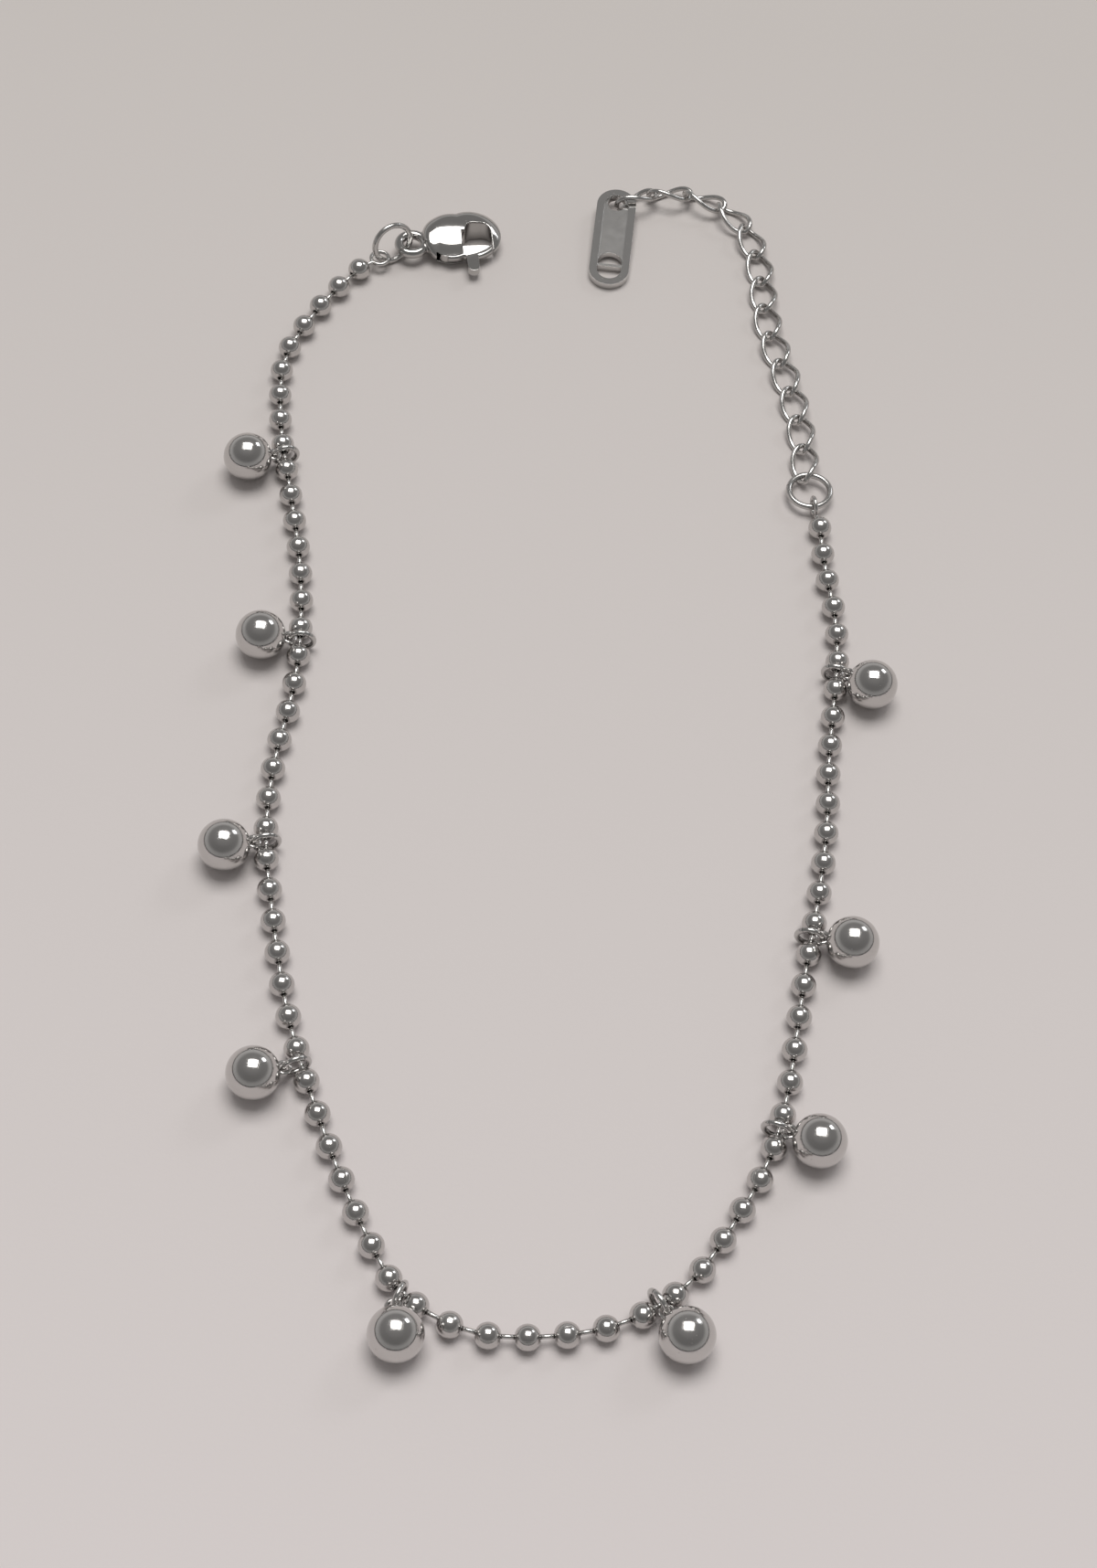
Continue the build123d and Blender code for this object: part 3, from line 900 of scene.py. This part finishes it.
def bent_eye(name, bead, way, sideways):
    """Wire from inside the bead, bent round into an eye across the sideways direction."""
    middle = bead + way * END_EYE_REACH
    path = [bead + way * HEAD_DEPTH, bead + way * (END_EYE_REACH - END_EYE - END_EYE_NECK)]
    for number in range(EYE_STEPS):
        angle = math.pi + math.radians(EYE_START) + number / EYE_STEPS * math.radians(EYE_TURN)
        path.append(middle + (way * math.cos(angle) + sideways * math.sin(angle)) * END_EYE)
    curve = bpy.data.curves.new(name, "CURVE")
    curve.dimensions = "3D"
    curve.bevel_depth = END_EYE_WIRE / 2 * MM
    curve.bevel_resolution = 4
    curve.use_fill_caps = True
    spline = curve.splines.new("POLY")
    spline.points.add(len(path) - 1)
    for point, place in zip(spline.points, path):
        point.co = (*(place * MM), 1)
    drawn = bpy.data.objects.new(name + "_wire", curve)
    scene.collection.objects.link(drawn)
    bpy.context.view_layer.update()
    shown = drawn.evaluated_get(bpy.context.evaluated_depsgraph_get())
    mesh = bpy.data.meshes.new_from_object(shown)
    bpy.data.objects.remove(drawn)
    merge(mesh, 0.001 * MM)
    mesh.materials.clear()
    mesh.materials.append(finish["wire_steel"])
    mesh.shade_smooth()
    piece = bpy.data.objects.new(name, mesh)
    scene.collection.objects.link(piece)
    report(piece)
    return piece


# %% End eyes
clasp_way = level(CLASP_END_HEADING)
extender_way = level(EXTENDER_END_HEADING)
eyes = (
    bent_eye("clasp_end_wire", centres[0], clasp_way, UP.cross(clasp_way)),
    bent_eye("extender_end_wire", centres[-1], extender_way, UP),
)
for eye, node in zip(eyes, ("clasp_end_eye", "extender_end_eye")):
    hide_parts(node)
    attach(eye, "anklet")

# %% Large rings
JUMP_RING = 5.0
JUMP_RING_WIRE = 0.65
CLASP_RING_HEADING = 35
CLASP_RING_LEAN = 12     # degrees from upright
EXTENDER_RING_SLOPE = -1


def middle_of(node):
    """Middle of a node's box, in millimetres."""
    low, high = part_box(node)
    return Vector([(a + b) / 2 / MM for a, b in zip(low, high)])


lean = math.radians(CLASP_RING_LEAN)
slope = math.radians(EXTENDER_RING_SLOPE)
leaning_up = UP * math.cos(lean) + level(CLASP_RING_HEADING + 90) * math.sin(lean)
sloping = extender_way * math.cos(slope) + UP * math.sin(slope)
large_rings = grow(
    "end_jump_rings", ring_tree, [middle_of("clasp_ring"), middle_of("extender_ring")], "wire_steel",
    {
        "Ring radius": (JUMP_RING - JUMP_RING_WIRE) / 2 * MM, "Wire": JUMP_RING_WIRE * MM,
        "Cut at": 1.2, "Cut": 0.02,
    },
    turns=(turn_of(level(CLASP_RING_HEADING), leaning_up), turn_of(sloping, UP.cross(extender_way))),
)
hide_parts("clasp_ring", "extender_ring")
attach(large_rings, "anklet")

# %% [markdown]
# ## Extender links
# The extender is a curb chain: each link is a loop of wire that was twisted until its
# two ends stand at an angle, so the links lie flat against each other. In the tree a
# circle is stretched to the link's length and width, and each of its points is turned
# about the length by an amount that grows along it. A round wire is then swept along.

# %% Extender links: sizes and turns
LINK_LENGTH = 5.4
LINK_WIDTH = 3.2
LINK_WIRE = 0.55
LINK_PITCH = 4.08
LINK_TWIST = 45          # degrees at each end
LINK_GAP = 0.25          # between the first link's wire and the ring's
Link = namedtuple("Link", "heading roll")
LINKS = (
    Link(94, -25),
    Link(100, -22),
    Link(104, -19),
    Link(107, -16),
    Link(108, -13),
    Link(102, -10),
    Link(96, -6),
    Link(101, -2),
    Link(111, 6),
    Link(135, 16),
    Link(162, 27),
    Link(189, 37),
    Link(210, 46),
)
print("extender", round(len(LINKS) * LINK_PITCH, 1), "mm")

# %% Extender links: the tree
link_tree, given, result = start_shape_tree("Twisted links", (
    ("Length", FLOAT, LINK_LENGTH * MM),
    ("Width", FLOAT, LINK_WIDTH * MM),
    ("Wire", FLOAT, LINK_WIRE * MM),
    ("Twist", FLOAT, math.radians(LINK_TWIST)),
))
circle = put(link_tree, "GeometryNodeCurvePrimitiveCircle", {"Resolution": 72, "Radius": 1.0})
circle_place = put(link_tree, "GeometryNodeInputPosition").outputs[0]
split = put(link_tree, "ShaderNodeSeparateXYZ", {0: circle_place})


def half_size(outer):
    """Half of an outer size, to the middle of the wire."""
    return calc(link_tree, "MULTIPLY", calc(link_tree, "SUBTRACT", outer, given["Wire"]), 0.5)


twist = calc(link_tree, "MULTIPLY", split.outputs[0], given["Twist"])
sideways = calc(link_tree, "MULTIPLY", split.outputs[1], half_size(given["Width"]))
twisted = put(link_tree, "GeometryNodeSetPosition", {
    "Geometry": circle.outputs[0],
    "Position": xyz(
        link_tree,
        calc(link_tree, "MULTIPLY", split.outputs[0], half_size(given["Length"])),
        calc(link_tree, "MULTIPLY", sideways, calc(link_tree, "COSINE", twist)),
        calc(link_tree, "MULTIPLY", sideways, calc(link_tree, "SINE", twist)),
    ),
})
wire = put(link_tree, "GeometryNodeCurvePrimitiveCircle", {
    "Resolution": 16, "Radius": calc(link_tree, "MULTIPLY", given["Wire"], 0.5),
})
tube = put(link_tree, "GeometryNodeCurveToMesh", {
    "Curve": twisted.outputs[0], "Profile Curve": wire.outputs[0],
})
end_shape_tree(link_tree, given, result, tube.outputs[0])
print(link_tree.name, len(link_tree.nodes), "nodes")


# %% Extender links in line
def lowest_of_link(roll):
    """Height of the lowest point of a link's centre line, under its middle."""
    heights = []
    for degrees in range(0, 360, 3):
        along = math.cos(math.radians(degrees))
        across = (LINK_WIDTH - LINK_WIRE) / 2 * math.sin(math.radians(degrees))
        heights.append(across * math.sin(math.radians(LINK_TWIST * along + roll)))
    return min(heights)


wires_apart = (JUMP_RING_WIRE + LINK_WIRE) / 2 + LINK_GAP
link_end = (LINK_LENGTH - LINK_WIRE - LINK_PITCH) / 2
ring_end = middle_of("extender_ring") + sloping * (JUMP_RING - JUMP_RING_WIRE) / 2
joint = ring_end - level(LINKS[0].heading) * (wires_apart - link_end)
link_places = []
for link in LINKS:
    place = joint + level(link.heading) * (LINK_PITCH / 2)
    place.z = LINK_WIRE / 2 - lowest_of_link(link.roll)
    link_places.append(place)
    joint += level(link.heading) * LINK_PITCH
link_names = [f"extender_link_{number:02}" for number in range(1, len(LINKS) + 1)]
extender = grow(
    "extender_links", link_tree, link_places, "wire_steel",
    {
        "Length": LINK_LENGTH * MM, "Width": LINK_WIDTH * MM, "Wire": LINK_WIRE * MM,
        "Twist": math.radians(LINK_TWIST),
    },
    turns=[(math.radians(link.roll), 0, math.radians(link.heading)) for link in LINKS],
)
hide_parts(*link_names)
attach(extender, "anklet")

# %% [markdown]
# ## Clasp and lever
# The clasp is cast, so every edge is soft from tumbling. Its solids have the right form
# but sharp edges. A copy is remeshed into small even squares and relaxed a little, which
# rounds edges and inner corners alike. Blender's smallest voxel is a tenth of a
# thousandth of a unit, so the copy is worked on a thousand times as large.

# %% Copies of the solids
def copy_of(node):
    """An object with a copy of a CAD node's mesh, in millimetres, and closed seams."""
    mesh = frame["nodes"][node].data.copy()
    mesh.transform(Matrix.Scale(1 / MM, 4))
    merge(mesh, 0.0005)
    mesh.shade_smooth()
    holder = bpy.data.objects.new(node + "_copy", mesh)
    scene.collection.objects.link(holder)
    return holder


def settle(holder, name, steel):
    """The holder's shape with its modifiers, back in metres, as a piece of its own."""
    bpy.context.view_layer.update()
    shown = holder.evaluated_get(bpy.context.evaluated_depsgraph_get())
    mesh = bpy.data.meshes.new_from_object(shown)
    mesh.transform(Matrix.Scale(MM, 4))
    bpy.data.objects.remove(holder)
    mesh.name = name
    mesh.materials.clear()
    mesh.materials.append(finish[steel])
    piece = bpy.data.objects.new(name, mesh)
    scene.collection.objects.link(piece)
    return piece


# %% Clasp and lever
Softened = namedtuple("Softened", "name node body voxel rounds")
SOFTENED = (
    Softened("clasp_casting", "clasp_body", "anklet", 0.06, 12),
    Softened("clasp_trigger", "clasp_lever", "lever", 0.05, 7),
)

softened = {}
for plan in SOFTENED:
    holder = copy_of(plan.node)
    remesh = holder.modifiers.new("remesh", "REMESH")
    remesh.mode = "VOXEL"
    remesh.voxel_size = plan.voxel
    relax = holder.modifiers.new("relax", "SMOOTH")
    relax.factor = 0.5
    relax.iterations = plan.rounds
    piece = settle(holder, plan.name, "clasp_steel")
    piece.data.shade_smooth()
    report(piece)
    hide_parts(plan.node)
    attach(piece, plan.body)
    softened[plan.name] = piece

# %% [markdown]
# ## Crown of the clasp
# A lobster clasp is thickest along its back and thins towards its nose and its gate. Its
# top is therefore a low crown, and that is what gathers the ceiling light into one bright
# patch. The upper half of the casting, and of the lever with it, is lowered little by
# little away from the crown. The round eye at its end keeps its form. The lever is lowered
# as much as its way through the casting asks, so that it stays free when it swings.

# %% Crown of the clasp
CLASP_HEADING = 13
PIVOT = Vector((3.7, -1.4, 0))       # from the middle of the clasp's eye
CROWN = Vector((5.0, 1.7))
CROWN_LENGTHWISE = 14.0              # radii of the crown
CROWN_ACROSS = 6.9
DEEPEST = 1.2                        # the most that a point may be lowered
LEVELLING = 8                        # how suddenly the fall ends there
HALF_THICKNESS = 1.5
EYE_END, CROWN_START = 0.9, 3.0      # between them the crown sets in
SWING = 25                           # degrees that the lever opens
SWINGS = {"clasp_casting": (0,), "clasp_trigger": (0, SWING / 2, SWING)}

turned = Matrix.Rotation(math.radians(CLASP_HEADING), 3, "Z")
eye_at = Vector(frame["joints"][0]["pos_m"]) / MM - turned @ PIVOT


def drop_from_crown(away):
    """How far a point of the top lies under the crown: a bowl that levels out."""
    fall = away.x ** 2 / (2 * CROWN_LENGTHWISE) + away.y ** 2 / (2 * CROWN_ACROSS)
    return fall / (1 + (fall / DEEPEST) ** LEVELLING) ** (1 / LEVELLING)


def lowering(place):
    """The share of its height that the crown takes from a point of the upper half."""
    share = min(max((place.x - EYE_END) / (CROWN_START - EYE_END), 0), 1)
    return share * share * (3 - 2 * share) * drop_from_crown(place - CROWN) / HALF_THICKNESS


# %% Lowering the clasp's top
for name, piece in softened.items():
    swings = [Matrix.Rotation(math.radians(swing), 2) for swing in SWINGS[name]]
    lowered = 0
    for vertex in piece.data.vertices:
        place = turned.transposed() @ (vertex.co / MM - eye_at)
        if place.z <= 0:
            continue
        from_pivot = (place - PIVOT).to_2d()
        place.z *= 1 - max(lowering(PIVOT.to_2d() + swing @ from_pivot) for swing in swings)
        vertex.co = (turned @ place + eye_at) * MM
        lowered += 1
    print(name, "points under the crown", lowered)

# %% [markdown]
# ## Tag
# The tag is stamped from plate: its edges are crisp, with only a small polished bevel,
# round a sunk panel. So here the flat faces are joined first and the edges bevelled. The
# normals are weighted by area, so that the flat faces still reflect as flat.

# %% Tag
TAG_BEVEL = 0.09
FLAT_WITHIN = 1          # degrees between faces that are joined
SHARP_FROM = 35          # degrees between faces whose edge is bevelled

holder = copy_of("tag")
shape = bmesh.new()
shape.from_mesh(holder.data)
bmesh.ops.dissolve_limit(
    shape, angle_limit=math.radians(FLAT_WITHIN), verts=shape.verts, edges=shape.edges
)
shape.to_mesh(holder.data)
shape.free()
bevel = holder.modifiers.new("bevel", "BEVEL")
bevel.width = TAG_BEVEL
bevel.segments = 3
bevel.limit_method = "ANGLE"
bevel.angle_limit = math.radians(SHARP_FROM)
flatten = holder.modifiers.new("flatten", "WEIGHTED_NORMAL")
flatten.mode = "FACE_AREA"
flatten.weight = 100
tag_piece = settle(holder, "end_tag", "tag_steel")
report(tag_piece)
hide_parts("tag")
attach(tag_piece, "anklet")

# %% [markdown]
# The panel is a little less glossy than the rim. Its faces are the ones that face up and
# lie lower. Their height is measured along the tag's own upward way, because the tag is
# tilted.

# %% Panel of the tag
TAG_PANEL_DEPTH = 0.2
FACING_UP = 0.98         # least upward part of a top face's normal

tag_piece.data.materials.append(finish["panel_steel"])
upward_faces = [face for face in tag_piece.data.polygons if face.normal.z > FACING_UP]
tag_upward = max(upward_faces, key=lambda face: face.area).normal.copy()
heights = [(face.center / MM).dot(tag_upward) for face in upward_faces]
panel_top = max(heights) - TAG_PANEL_DEPTH / 2
for face, height in zip(upward_faces, heights):
    face.material_index = int(height < panel_top)
print("panel faces", sum(height < panel_top for height in heights), "of", len(heights))
